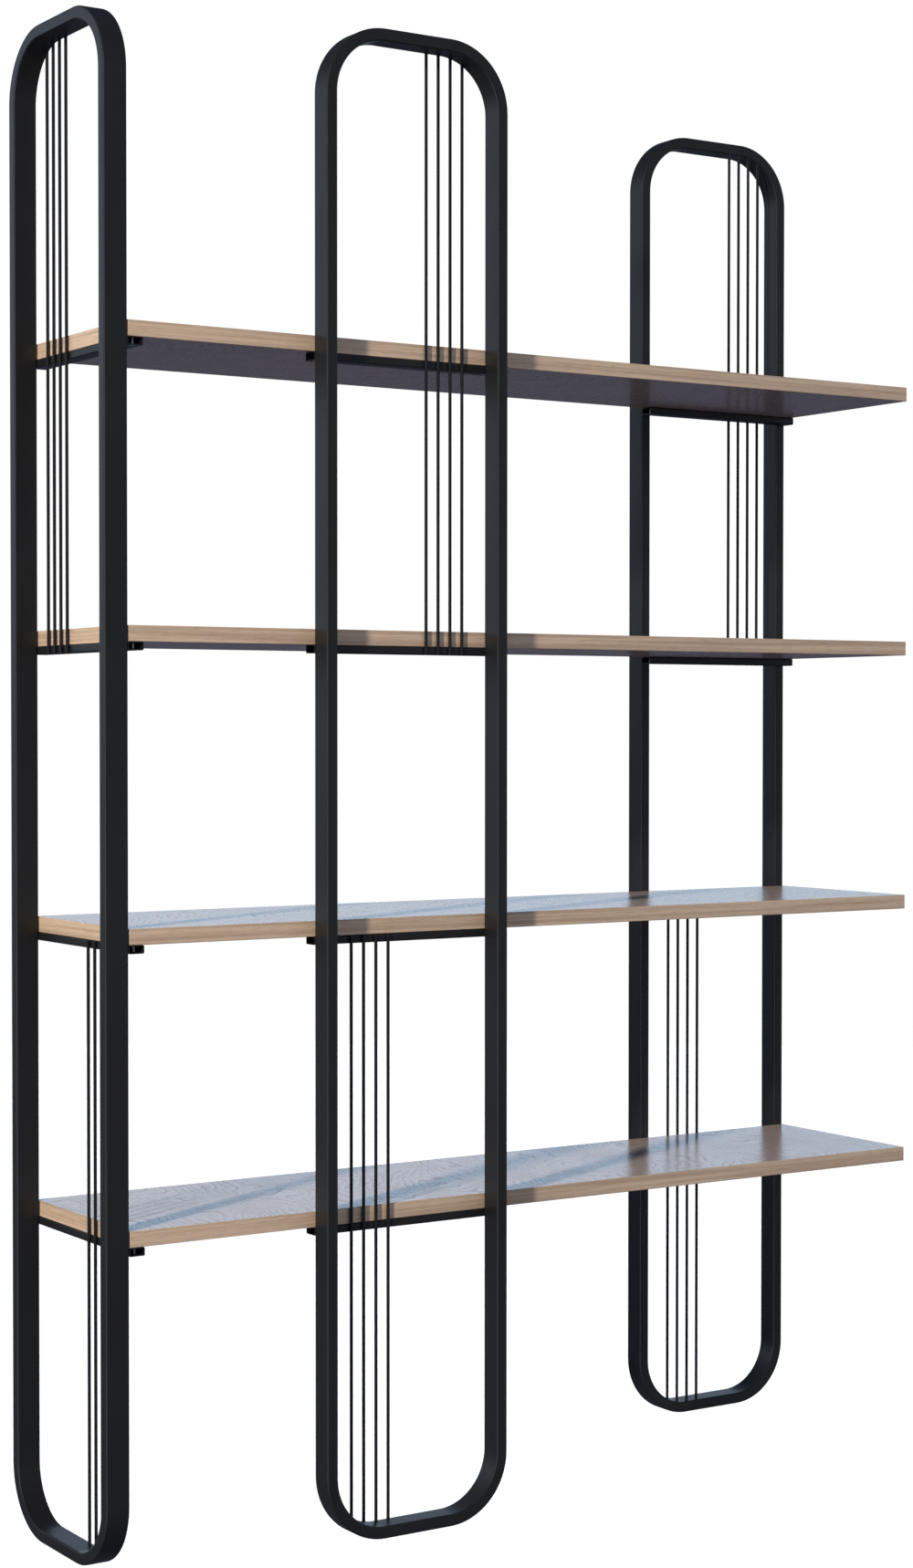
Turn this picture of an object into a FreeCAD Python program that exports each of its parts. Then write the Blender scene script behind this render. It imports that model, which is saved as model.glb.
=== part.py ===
"""Open bookcase: three bent-tube loop frames carry four edge-banded oak shelves on welded cross rails.

Lengths are in millimetres and +Z is up. The origin is on the floor, midway along the bookcase (X) and midway
across its shelves (Y). The left frame stands across the shelves' left ends, the middle frame stands in front of
them (-Y) and the right frame stands behind them (+Y).
"""
import FreeCAD, Part
import math
import os

import Sketcher

V = FreeCAD.Vector
UP = V(0, 0, 1)

# Driving dimensions, each with what it measures
SIZES = [
    ("frame_height", 1820, "floor to the top of each loop frame"),
    ("frame_width", 260, "outside width of each loop frame"),
    ("bend_radius", 75, "corner bends, to the middle of the tube"),
    ("tube_depth", 30, "frame tube, across the plane of the loop"),
    ("tube_width", 15, "frame tube, in the plane of the loop"),
    ("tube_wall", 1.5, "frame tube wall"),
    ("tube_edge_bevel", 1.2, "frame tube, easing of its four long edges"),
    ("shelf_length", 1195, "shelf with its end bands"),
    ("shelf_thickness", 19, "shelf board and edge bands"),
    ("shelf_gap", 1, "between a shelf's edges and the frames beside it"),
    ("band_thickness", 2, "oak edge bands"),
    ("band_bevel", 0.6, "easing of the bands' outer edges"),
    ("lowest_shelf_height", 382, "floor to the underside of the bottom shelf"),
    ("shelf_spacing", 350, "one shelf's underside to the next"),
    ("middle_frame_inset", 247, "shelves' left end to the middle frame's left side"),
    ("rail_width", 20, "cross rail, flat under the shelf"),
    ("rail_height", 10, "cross rail, upright"),
    ("rail_wall", 1.2, "cross rail wall"),
    ("rail_edge_bevel", 0.8, "cross rail, easing of its four long edges"),
    ("rod_diameter", 4, "thin upright rods"),
    ("rod_inset", 50, "frame's outer side to the first rod's middle"),
    ("rod_pitch", 17.5, "one rod's middle to the next"),
    ("screw_inset", 8, "rail's end to the screw's middle"),
    ("screw_diameter", 4, "screw shank"),
    ("screw_head_diameter", 8, "countersunk screw head"),
    ("screw_length", 22, "screw, from the face of its head to its point"),
    ("screw_point", 3, "length of the screw's tapered point"),
    ("screw_tip_diameter", 0.8, "blunt end of the screw's point"),
    ("hole_clearance", 0.2, "added to the screw's shank and length for its hole"),
]
RODS_IN_GROUP = 4
# Screws and their holes are many and small, so they are drawn with few sides
SCREW_SIDES = 8
SHELF_NAMES = ["bottom", "lower", "upper", "top"]
# The upper rods reach down past this shelf's rail, and the lower rods reach up past the other's
UPPER_ROD_SHELF = "upper"
LOWER_ROD_SHELF = "lower"

doc = FreeCAD.newDocument("bookcase")
sheet = doc.addObject("Spreadsheet::Sheet", "sizes")
for row, (alias, number, meaning) in enumerate(SIZES, start=1):
    sheet.set(f"A{row}", meaning)
    sheet.set(f"B{row}", str(number))
    sheet.setAlias(f"B{row}", alias)
doc.recompute()

# Sizes that follow from the driving dimensions, as expressions on the sheet
OVERALL_LENGTH = "(sizes.tube_depth + sizes.shelf_gap + sizes.shelf_length)"
SHELF_DEPTH = "(sizes.frame_width - 2 * sizes.shelf_gap)"
SHELF_LEFT = f"({OVERALL_LENGTH} / 2 - sizes.shelf_length)"
SHELF_MIDDLE = f"({SHELF_LEFT} + sizes.shelf_length / 2)"
PANEL_HALF_LENGTH = "(sizes.shelf_length / 2 - sizes.band_thickness)"
PANEL_HALF_DEPTH = f"({SHELF_DEPTH} / 2 - sizes.band_thickness)"
FRAME_FACE = "(sizes.tube_depth / 2)"
RAIL_MIDDLE = f"({FRAME_FACE} + sizes.rail_width / 2)"
SCREW_OFFSET = "(sizes.frame_width / 2 - sizes.screw_inset)"
SCREW_RADIUS = "(sizes.screw_diameter / 2)"
SCREW_HEAD_RADIUS = "(sizes.screw_head_diameter / 2)"
SCREW_HOLE_RADIUS = "((sizes.screw_diameter + sizes.hole_clearance) / 2)"
SCREW_HOLE_DEPTH = "(sizes.screw_length + sizes.hole_clearance)"

# Each frame's middle, and how far it is turned about Z so that its own +Y side faces the shelves. The upper rods
# stand on the side of the frame's own X axis that upper_side gives, and the lower rods on the other side.
FRAMES = {
    "left": {
        "x": f"{FRAME_FACE} - {OVERALL_LENGTH} / 2",
        "y": "0",
        "turn": -90,
        "upper_side": -1,
    },
    "middle": {
        "x": f"{SHELF_LEFT} + sizes.middle_frame_inset + sizes.frame_width / 2",
        "y": f"-(sizes.frame_width / 2 + {FRAME_FACE})",
        "turn": 0,
        "upper_side": 1,
    },
    "right": {
        "x": f"{OVERALL_LENGTH} / 2 - sizes.frame_width / 2",
        "y": f"sizes.frame_width / 2 + {FRAME_FACE}",
        "turn": 180,
        "upper_side": -1,
    },
}

nodes = []


def value(expression):
    """The number that an expression on the sheet comes to."""
    return float(sheet.evalExpression(expression))


def shelf_underside(shelf):
    """Height of a shelf's underside, which is also the top of its rails."""
    return f"(sizes.lowest_shelf_height + {SHELF_NAMES.index(shelf)} * sizes.shelf_spacing)"


def rail_underside(shelf):
    return f"({shelf_underside(shelf)} - sizes.rail_height)"


def on_frame(frame, along, across):
    """The X and Y of a point that is given along and across a frame's own plane."""
    turned = {
        0: (along, across),
        -90: (across, f"-({along})"),
        180: (f"-({along})", f"-({across})"),
    }
    x, y = turned[frame["turn"]]
    return f"{frame['x']} + ({x})", f"{frame['y']} + ({y})"


def place(piece, x, y, z, turn=0):
    """Turn a piece about Z and bind its position to expressions on the sheet."""
    piece.Placement = FreeCAD.Placement(V(), FreeCAD.Rotation(UP, turn))
    piece.setExpression("Placement.Base.x", x)
    piece.setExpression("Placement.Base.y", y)
    piece.setExpression("Placement.Base.z", z)


def keep(piece, name):
    """Give a finished piece the name of its node and list it for export."""
    piece.Label = name
    nodes.append(piece)


def new_body(name):
    return doc.addObject("PartDesign::Body", name)


def new_sketch(body, name, role):
    """A sketch on one of the body's own origin planes."""
    sketch = body.newObject("Sketcher::SketchObject", name)
    plane = next(feature for feature in body.Origin.OriginFeatures if feature.Role == role)
    sketch.AttachmentSupport = (plane, "")
    sketch.MapMode = "FlatFace"
    return sketch


def constrain(sketch, kind, *references):
    sketch.addConstraint(Sketcher.Constraint(kind, *references))


def dimension(sketch, name, kind, *references, expression):
    """Add a named dimension to a sketch and bind it to the sheet."""
    index = sketch.addConstraint(Sketcher.Constraint(kind, *references, value(expression)))
    sketch.renameConstraint(index, name)
    sketch.setExpression(f"Constraints.{name}", expression)


def add_line(sketch, start, end):
    return sketch.addGeometry(Part.LineSegment(V(*start, 0), V(*end, 0)))


def add_bend(sketch, centre, radius, quarter):
    """A quarter circle; quarter 0 runs from the right of its centre to above it."""
    circle = Part.Circle(V(*centre, 0), UP, radius)
    start = quarter * math.pi / 2
    return sketch.addGeometry(Part.ArcOfCircle(circle, start, start + math.pi / 2))


def draw_loop(sketch, width, height, radius, level):
    """A rectangle with round corners, centred on the vertical axis, its lower side at the level given."""
    half, low, bend = value(width) / 2, value(level), value(radius)
    high, inner = low + value(height), half - bend
    bottom = add_line(sketch, (-inner, low), (inner, low))
    right = add_line(sketch, (half, low + bend), (half, high - bend))
    top = add_line(sketch, (inner, high), (-inner, high))
    left = add_line(sketch, (-half, high - bend), (-half, low + bend))
    low_right = add_bend(sketch, (inner, low + bend), bend, 3)
    high_right = add_bend(sketch, (inner, high - bend), bend, 0)
    high_left = add_bend(sketch, (-inner, high - bend), bend, 1)
    low_left = add_bend(sketch, (-inner, low + bend), bend, 2)
    loop = [bottom, low_right, right, high_right, top, high_left, left, low_left]
    for piece, following in zip(loop, loop[1:] + loop[:1]):
        constrain(sketch, "Tangent", piece, 2, following, 1)
    for other_bend in (high_right, high_left, low_left):
        constrain(sketch, "Equal", low_right, other_bend)
    constrain(sketch, "Symmetric", bottom, 1, bottom, 2, -2)
    dimension(sketch, "bend_radius", "Radius", low_right, expression=radius)
    dimension(sketch, "loop_width", "DistanceX", left, 2, right, 1, expression=width)
    dimension(sketch, "loop_height", "DistanceY", bottom, 2, top, 1, expression=height)
    dimension(sketch, "loop_level", "DistanceY", -1, 1, bottom, 1, expression=level)


def draw_outline(sketch, points):
    """Straight lines through the points, with each corner's two coordinates bound to the sheet."""
    corners = [(value(x), value(y)) for x, y in points]
    lines = [add_line(sketch, start, end) for start, end in zip(corners, corners[1:] + corners[:1])]
    for line, following in zip(lines, lines[1:] + lines[:1]):
        constrain(sketch, "Coincident", line, 2, following, 1)
    for number, (line, (x, y)) in enumerate(zip(lines, points), start=1):
        dimension(sketch, f"corner_{number}_x", "DistanceX", -1, 1, line, 1, expression=x)
        dimension(sketch, f"corner_{number}_y", "DistanceY", -1, 1, line, 1, expression=y)


def square_corners(half, low, high):
    """A rectangle centred on the vertical axis, between two levels."""
    return [(f"-{half}", low), (half, low), (half, high), (f"-{half}", high)]


def eased_corners(half, high, bevel):
    """A rectangle standing on the horizontal axis, with its four corners eased."""
    inner = f"({half} - {bevel})"
    upper = f"({high} - {bevel})"
    return [
        (f"-{inner}", "0"),
        (inner, "0"),
        (half, bevel),
        (half, upper),
        (inner, high),
        (f"-{inner}", high),
        (f"-{half}", upper),
        (f"-{half}", bevel),
    ]


def add_pad(body, sketch, length, side="Symmetric"):
    pad = body.newObject("PartDesign::Pad", f"{body.Name}_pad")
    pad.Profile = sketch
    pad.SideType = side
    pad.setExpression("Length", length)
    return pad


def must_have_cut(piece, volume_before, wanted):
    """Stop if a cut took less than half of what it should have."""
    taken = volume_before - piece.Shape.Volume
    if taken < wanted / 2:
        raise RuntimeError(f"{piece.Label}: {taken:.1f} mm3 were cut away instead of {wanted:.1f}")


def make_frame(name, frame):
    """One loop frame: a rectangular tube swept round its bend line, with its bore swept out of it."""
    body = new_body(f"{name}_frame")
    bend_line = new_sketch(body, f"{name}_bend_line", "XZ_Plane")
    draw_loop(
        bend_line,
        width="sizes.frame_width - sizes.tube_width",
        height="sizes.frame_height - sizes.tube_width",
        radius="sizes.bend_radius",
        level="sizes.tube_width / 2",
    )
    section = new_sketch(body, f"{name}_tube_section", "YZ_Plane")
    draw_outline(section, eased_corners(FRAME_FACE, "sizes.tube_width", "sizes.tube_edge_bevel"))
    bore_half = f"({FRAME_FACE} - sizes.tube_wall)"
    bore_top = "(sizes.tube_width - sizes.tube_wall)"
    bore_section = new_sketch(body, f"{name}_bore_section", "YZ_Plane")
    draw_outline(bore_section, square_corners(bore_half, "sizes.tube_wall", bore_top))
    doc.recompute()
    tube = body.newObject("PartDesign::AdditivePipe", f"{name}_tube")
    tube.Profile = section
    tube.Spine = bend_line
    doc.recompute()
    solid_volume = body.Shape.Volume
    bore = body.newObject("PartDesign::SubtractivePipe", f"{name}_bore")
    bore.Profile = bore_section
    bore.Spine = bend_line
    place(body, frame["x"], frame["y"], "0", frame["turn"])
    doc.recompute()
    bore_area = value(f"2 * {bore_half} * ({bore_top} - sizes.tube_wall)")
    must_have_cut(body, solid_volume, bore_area * bend_line.Shape.Length)
    keep(body, f"{name}_frame")


def make_window(name, frame):
    """The space inside a frame's loop, to which the ends of its rods are cut."""
    body = new_body(f"{name}_window")
    outline = new_sketch(body, f"{name}_window_outline", "XZ_Plane")
    draw_loop(
        outline,
        width="sizes.frame_width - 2 * sizes.tube_width",
        height="sizes.frame_height - 2 * sizes.tube_width",
        radius="sizes.bend_radius - sizes.tube_width / 2",
        level="sizes.tube_width",
    )
    add_pad(body, outline, "sizes.tube_depth")
    place(body, frame["x"], frame["y"], "0", frame["turn"])
    return body


def make_rod(name, frame, window, along, low, high):
    """One thin rod that touches the rails' frame side, its far end coped to the inside of the loop."""
    blank = doc.addObject("Part::Cylinder", f"{name}_blank")
    blank.setExpression("Radius", "sizes.rod_diameter / 2")
    blank.setExpression("Height", f"{high} - {low}")
    place(blank, *on_frame(frame, along, f"{FRAME_FACE} - sizes.rod_diameter / 2"), low)
    rod = doc.addObject("Part::Common", name)
    rod.Base = blank
    rod.Tool = window
    keep(rod, name)


def make_rods(name, frame):
    """Both groups of rods in one frame."""
    window = make_window(name, frame)
    groups = {
        "upper": (frame["upper_side"], rail_underside(UPPER_ROD_SHELF), "sizes.frame_height"),
        "lower": (-frame["upper_side"], "0", shelf_underside(LOWER_ROD_SHELF)),
    }
    for group, (side, low, high) in groups.items():
        for number in range(RODS_IN_GROUP):
            from_middle = f"(sizes.frame_width / 2 - sizes.rod_inset - {number} * sizes.rod_pitch)"
            make_rod(f"{name}_{group}_rod_{number + 1}", frame, window, f"{side} * {from_middle}", low, high)


def make_turned(name, sections):
    """A straight-sided solid through one polygon for each height and radius given."""
    rings = []
    for number, (height, radius) in enumerate(sections, start=1):
        ring = doc.addObject("Part::RegularPolygon", f"{name}_ring_{number}")
        ring.Polygon = SCREW_SIDES
        ring.setExpression("Circumradius", radius)
        ring.setExpression("Placement.Base.z", height)
        rings.append(ring)
    solid = doc.addObject("Part::Loft", name)
    solid.Sections = rings
    solid.Solid = True
    solid.Ruled = True
    return solid


def make_screw():
    """A countersunk wood screw standing on the face of its head."""
    sections = [
        ("0", SCREW_HEAD_RADIUS),
        (f"{SCREW_HEAD_RADIUS} - {SCREW_RADIUS}", SCREW_RADIUS),
        ("sizes.screw_length - sizes.screw_point", SCREW_RADIUS),
        ("sizes.screw_length", "sizes.screw_tip_diameter / 2"),
    ]
    return make_turned("screw", sections)


def make_drill():
    """The countersunk hole for a screw: its head seats on the cone, and its shank and point are clear."""
    sections = [
        ("0", SCREW_HEAD_RADIUS),
        (f"{SCREW_HEAD_RADIUS} - {SCREW_HOLE_RADIUS}", SCREW_HOLE_RADIUS),
        (SCREW_HOLE_DEPTH, SCREW_HOLE_RADIUS),
    ]
    return make_turned("drill", sections)


def screw_places(shelf, frame):
    """Where the two screws of one rail stand, the faces of their heads flush with the rail's underside."""
    offsets = [f"{side} * {SCREW_OFFSET}" for side in (-1, 1)]
    return [(*on_frame(frame, offset, RAIL_MIDDLE), rail_underside(shelf)) for offset in offsets]


def copies_of(model, name, places):
    """Copies of one model at the places given, as a group of separate solids."""
    copies = []
    for number, position in enumerate(places, start=1):
        copy = doc.addObject("App::Link", f"{name}_{number}")
        copy.LinkedObject = model
        place(copy, *position)
        copies.append(copy)
    group = doc.addObject("Part::Compound", name)
    group.Links = copies
    return group


def drill_holes(body, name, drill, places, depth):
    """Cut the holes for the screws at the places given, each through the depth of solid material given."""
    piece = doc.addObject("Part::Cut", name)
    piece.Base = body
    piece.Tool = copies_of(drill, f"{name}_holes", places)
    keep(piece, name)
    doc.recompute()
    hole_area = SCREW_SIDES / 2 * math.sin(2 * math.pi / SCREW_SIDES) * value(SCREW_HOLE_RADIUS) ** 2
    must_have_cut(piece, body.Shape.Volume, len(places) * hole_area * value(depth))


def make_rail(name, shelf, frame, drill):
    """One cross rail: an open-ended rectangular tube across its frame, drilled for two screws."""
    body = new_body(f"{name}_tube")
    section = new_sketch(body, f"{name}_section", "YZ_Plane")
    half_width = "(sizes.rail_width / 2)"
    draw_outline(section, eased_corners(half_width, "sizes.rail_height", "sizes.rail_edge_bevel"))
    bore_half = f"({half_width} - sizes.rail_wall)"
    bore_top = "(sizes.rail_height - sizes.rail_wall)"
    bore_section = new_sketch(body, f"{name}_bore_section", "YZ_Plane")
    draw_outline(bore_section, square_corners(bore_half, "sizes.rail_wall", bore_top))
    add_pad(body, section, "sizes.frame_width")
    doc.recompute()
    solid_volume = body.Shape.Volume
    bore = body.newObject("PartDesign::Pocket", f"{name}_bore")
    bore.Profile = bore_section
    bore.SideType = "Symmetric"
    bore.setExpression("Length", "sizes.frame_width")
    place(body, *on_frame(frame, "0", RAIL_MIDDLE), rail_underside(shelf), frame["turn"])
    doc.recompute()
    bore_area = value(f"2 * {bore_half} * ({bore_top} - sizes.rail_wall)")
    must_have_cut(body, solid_volume, bore_area * value("sizes.frame_width"))
    drill_holes(body, name, drill, screw_places(shelf, frame), "2 * sizes.rail_wall")


def make_panel(shelf, drill):
    """One veneered board, drilled from below for the screws of its three rails."""
    name = f"{shelf}_shelf_panel"
    body = new_body(f"{name}_board")
    outline = new_sketch(body, f"{name}_outline", "XY_Plane")
    draw_outline(outline, square_corners(PANEL_HALF_LENGTH, f"-{PANEL_HALF_DEPTH}", PANEL_HALF_DEPTH))
    add_pad(body, outline, "sizes.shelf_thickness", "One side")
    place(body, SHELF_MIDDLE, "0", shelf_underside(shelf))
    doc.recompute()
    places = [position for frame in FRAMES.values() for position in screw_places(shelf, frame)]
    drill_holes(body, name, drill, places, f"{SCREW_HOLE_DEPTH} - sizes.rail_height")


def make_band(name, shelf, length, x, y, turn):
    """One edge band, eased along its two outer edges; its own +Y side faces out of the shelf."""
    body = new_body(name)
    section = new_sketch(body, f"{name}_section", "YZ_Plane")
    flat = "(sizes.band_thickness - sizes.band_bevel)"
    corners = [
        ("0", "0"),
        (flat, "0"),
        ("sizes.band_thickness", "sizes.band_bevel"),
        ("sizes.band_thickness", "sizes.shelf_thickness - sizes.band_bevel"),
        (flat, "sizes.shelf_thickness"),
        ("0", "sizes.shelf_thickness"),
    ]
    draw_outline(section, corners)
    add_pad(body, section, length)
    place(body, x, y, shelf_underside(shelf), turn)
    keep(body, name)


def make_bands(shelf):
    """The four bands of one shelf: the long bands cover the ends of the short ones."""
    long_band = "sizes.shelf_length"
    short_band = f"2 * {PANEL_HALF_DEPTH}"
    bands = {
        "front": (long_band, SHELF_MIDDLE, f"-{PANEL_HALF_DEPTH}", 180),
        "back": (long_band, SHELF_MIDDLE, PANEL_HALF_DEPTH, 0),
        "left": (short_band, f"{SHELF_MIDDLE} - {PANEL_HALF_LENGTH}", "0", 90),
        "right": (short_band, f"{SHELF_MIDDLE} + {PANEL_HALF_LENGTH}", "0", -90),
    }
    for edge, placing in bands.items():
        make_band(f"{shelf}_shelf_{edge}_band", shelf, *placing)


def check_and_write():
    """Stop on any failed object or bad shape, then write every node to its own file."""
    doc.recompute()
    failed = [item.Name for item in doc.Objects if {"Invalid", "Error"} & set(item.State)]
    if failed:
        raise RuntimeError(f"failed objects: {failed}")
    for node in nodes:
        if node.Shape.isNull() or not node.Shape.isValid() or not node.Shape.Solids:
            raise RuntimeError(f"{node.Label} has no valid solid")
    os.makedirs("parts", exist_ok=True)
    for node in nodes:
        node.Shape.exportStep(f"parts/{node.Label}.step")
        print(f"{node.Label}: {len(node.Shape.Solids)} solid(s), {node.Shape.Volume / 1000:.2f} cm3")


for frame_name, frame_data in FRAMES.items():
    make_frame(frame_name, frame_data)
    make_rods(frame_name, frame_data)

screw_drill = make_drill()
for shelf_name in SHELF_NAMES:
    for frame_name, frame_data in FRAMES.items():
        make_rail(f"{shelf_name}_shelf_{frame_name}_rail", shelf_name, frame_data, screw_drill)
    make_panel(shelf_name, screw_drill)
    make_bands(shelf_name)

all_places = [
    position
    for shelf_name in SHELF_NAMES
    for frame_data in FRAMES.values()
    for position in screw_places(shelf_name, frame_data)
]
keep(copies_of(make_screw(), "shelf_screws", all_places), "shelf_screws")
check_and_write()
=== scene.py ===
# %% [markdown]
# # An open bookcase on three steel loops
# The bookcase is four oak shelves held by three closed loops of black steel tube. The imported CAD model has
# every piece at its real size already, so this lesson keeps those places and gives each piece its true
# edges and finish: rounded tube, lacquered veneer, oak edge bands and real screws.

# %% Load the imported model
import math

import bmesh
import bpy
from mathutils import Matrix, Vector


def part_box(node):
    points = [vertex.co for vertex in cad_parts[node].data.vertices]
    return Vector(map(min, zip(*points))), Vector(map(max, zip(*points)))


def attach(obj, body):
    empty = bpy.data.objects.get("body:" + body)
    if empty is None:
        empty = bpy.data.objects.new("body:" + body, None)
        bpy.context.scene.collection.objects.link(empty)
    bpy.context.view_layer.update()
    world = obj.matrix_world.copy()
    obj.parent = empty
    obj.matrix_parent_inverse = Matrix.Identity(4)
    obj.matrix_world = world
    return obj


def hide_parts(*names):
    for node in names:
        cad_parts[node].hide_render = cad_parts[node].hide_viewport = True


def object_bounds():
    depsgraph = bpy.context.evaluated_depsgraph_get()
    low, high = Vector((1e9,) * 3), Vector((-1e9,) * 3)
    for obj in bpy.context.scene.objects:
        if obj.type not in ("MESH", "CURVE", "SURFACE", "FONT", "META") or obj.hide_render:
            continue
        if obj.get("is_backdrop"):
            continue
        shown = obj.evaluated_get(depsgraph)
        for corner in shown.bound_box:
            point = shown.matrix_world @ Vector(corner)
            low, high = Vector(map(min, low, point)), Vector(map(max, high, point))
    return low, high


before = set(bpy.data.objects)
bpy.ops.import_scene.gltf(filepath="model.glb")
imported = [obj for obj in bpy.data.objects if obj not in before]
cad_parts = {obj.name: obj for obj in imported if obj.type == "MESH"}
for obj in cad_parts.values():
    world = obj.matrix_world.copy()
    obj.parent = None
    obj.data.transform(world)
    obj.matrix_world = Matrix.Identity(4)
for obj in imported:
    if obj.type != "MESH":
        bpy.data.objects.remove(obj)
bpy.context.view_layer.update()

# %% [markdown]
# ## The camera
# The picture was taken from the left of the bookcase, at waist height. A camera has a place, a heading and
# a focal length, and these were worked out by matching the corners of the loops and shelves with their
# pixels. The picture is cut a little off its optical centre, which is what a lens shift is for.

# %% Stand the camera where the picture was taken
IMAGE_WIDTH, IMAGE_HEIGHT = 1000, 1718
FOCAL_LENGTH_PIXELS = 2998.8
OPTICAL_CENTRE_PIXELS = (439.7, 860.0)
CAMERA_PLACE = (-1.9984, -2.9556, 0.9860)
CAMERA_HEADING = 0.5638
CAMERA_DIP = 0.0219

camera_data = bpy.data.cameras.new("camera")
camera_data.lens = FOCAL_LENGTH_PIXELS / IMAGE_HEIGHT * camera_data.sensor_width
camera_data.shift_x = (IMAGE_WIDTH / 2 - OPTICAL_CENTRE_PIXELS[0]) / IMAGE_HEIGHT
camera_data.shift_y = (OPTICAL_CENTRE_PIXELS[1] - IMAGE_HEIGHT / 2) / IMAGE_HEIGHT
camera = bpy.data.objects.new("camera", camera_data)
camera.location = CAMERA_PLACE
camera.rotation_euler = (math.pi / 2 - CAMERA_DIP, 0, -CAMERA_HEADING)
bpy.context.scene.collection.objects.link(camera)
bpy.context.scene.camera = camera
print("Focal length:", round(camera_data.lens, 2), "mm")

# %% [markdown]
# ## Shader arithmetic
# Wood grain is easier to read as a formula than as a web of boxes. A small class wraps the output of a
# node, so that plus, minus and the rest add Math nodes. The reflected forms let a plain number stand first.


# %% Let sockets take part in arithmetic
class Socket:
    """An output of a shader node that takes part in Python arithmetic."""

    def __init__(self, shader, output):
        self.shader = shader
        self.output = output

    def math(self, operation, *values):
        return self.shader.node("ShaderNodeMath", {"operation": operation}, dict(enumerate(values)))

    def __add__(self, other):
        return self.math("ADD", self, other)

    def __radd__(self, other):
        return self.math("ADD", other, self)

    def __sub__(self, other):
        return self.math("SUBTRACT", self, other)

    def __rsub__(self, other):
        return self.math("SUBTRACT", other, self)

    def __mul__(self, other):
        return self.math("MULTIPLY", self, other)

    def __rmul__(self, other):
        return self.math("MULTIPLY", other, self)

    def __truediv__(self, other):
        return self.math("DIVIDE", self, other)

    def __rtruediv__(self, other):
        return self.math("DIVIDE", other, self)

    def fraction(self):
        """What is left when the whole part is taken off."""
        return self.math("FRACT", self)


# %% [markdown]
# ## Node trees in a few words
# Every material and the sky are node trees. One method adds any node, makes its settings and fills its
# sockets, and the others are short names for the nodes that come back again and again, such as noise.


# %% Write node trees in short
class Shader:
    """A node tree with one method that adds any node."""

    def __init__(self, tree):
        self.tree = tree
        self.tree.nodes.clear()

    def node(self, kind, settings=None, inputs=None, output=0):
        """Add a node with its settings and inputs. Sockets go by name, identifier or number."""
        node = self.tree.nodes.new(kind)
        for name, setting in (settings or {}).items():
            setattr(node, name, setting)
        for key, value in (inputs or {}).items():
            self.fill(self.find(node.inputs, key), value)
        return Socket(self, self.find(node.outputs, output)) if node.outputs else None

    @staticmethod
    def find(sockets, key):
        if isinstance(key, int):
            return sockets[key]
        return next(socket for socket in sockets if key in (socket.identifier, socket.name))

    def fill(self, socket, value):
        if isinstance(value, Socket):
            self.tree.links.new(value.output, socket)
        elif socket.type == "RGBA" and len(value) == 3:
            socket.default_value = (*value, 1)
        else:
            socket.default_value = value

    def place(self):
        """Where the surface is on the object, in metres."""
        return self.node("ShaderNodeTexCoord", output="Object")

    def noise(self, place, cells, detail):
        """Noise between 0 and 1, with so many cells to the metre along each axis."""
        stretched = self.node("ShaderNodeVectorMath", {"operation": "MULTIPLY"}, {0: place, 1: cells})
        return self.node("ShaderNodeTexNoise", None, {"Vector": stretched, "Scale": 1.0, "Detail": detail})

    def between(self, value, low, high):
        """0 below the low value, 1 above the high one and a soft step between."""
        settings = {"interpolation_type": "SMOOTHSTEP"}
        return self.node("ShaderNodeMapRange", settings, {"Value": value, "From Min": low, "From Max": high})

    def blend(self, share, first, second):
        """The first colour where share is 0, the second where it is 1."""
        inputs = {"Factor_Float": share, "A_Color": first, "B_Color": second}
        return self.node("ShaderNodeMix", {"data_type": "RGBA"}, inputs, "Result_Color")

    def parts(self, place):
        """The X, Y and Z of a place."""
        node = self.node("ShaderNodeSeparateXYZ", None, {0: place}).output.node
        return [Socket(self, output) for output in node.outputs]

    def bump(self, height, depth, strength):
        return self.node("ShaderNodeBump", None, {"Height": height, "Distance": depth, "Strength": strength})

    def surface(self, inputs):
        """Finish the tree with one principled surface."""
        surface = self.node("ShaderNodeBsdfPrincipled", None, inputs)
        self.node("ShaderNodeOutputMaterial", None, {"Surface": surface})


def new_material(name):
    material = bpy.data.materials.new(name)
    material.use_nodes = True
    return material, Shader(material.node_tree)


# %% [markdown]
# ## Ways to hang a lamp
# A studio lamp shines one way, and flags of black card keep it off what it should not light. Light linking
# does the work of the card: a lamp lights a few receivers alone, or everything but them. A lamp would also
# glint in satin paint, so it hides from reflections, unless it hangs there for its shine.


# %% Make ways to hang a lamp
def hang_lamp(kind, name, colour, travel, strength):
    """A lamp that shines one way, with no glint of its own in the paint."""
    lamp = bpy.data.objects.new(name, bpy.data.lights.new(name, kind))
    lamp.data.color = colour
    lamp.data.energy = strength
    lamp.rotation_euler = Vector(travel).to_track_quat("-Z", "Y").to_euler()
    lamp.visible_glossy = False
    bpy.context.scene.collection.objects.link(lamp)
    return lamp


def hang_sun(name, colour, travel, strength, softness):
    """A lamp from far away, as wide in the sky as its softness."""
    sun = hang_lamp("SUN", name, colour, travel, strength)
    sun.data.angle = softness
    return sun


def shine_only(lamp):
    """Let a lamp be seen in reflections and light nothing else."""
    lamp.visible_glossy = True
    lamp.visible_diffuse = False


def link_lamp(lamp, state, *things):
    """Let a lamp light these things alone, or everything but them."""
    receivers = bpy.data.collections.new(lamp.name + "_receivers")
    for thing in things:
        receivers.objects.link(thing)
    for receiver in receivers.collection_objects:
        receiver.light_linking.link_state = state
    lamp.light_linking.receiver_collection = receivers


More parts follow.
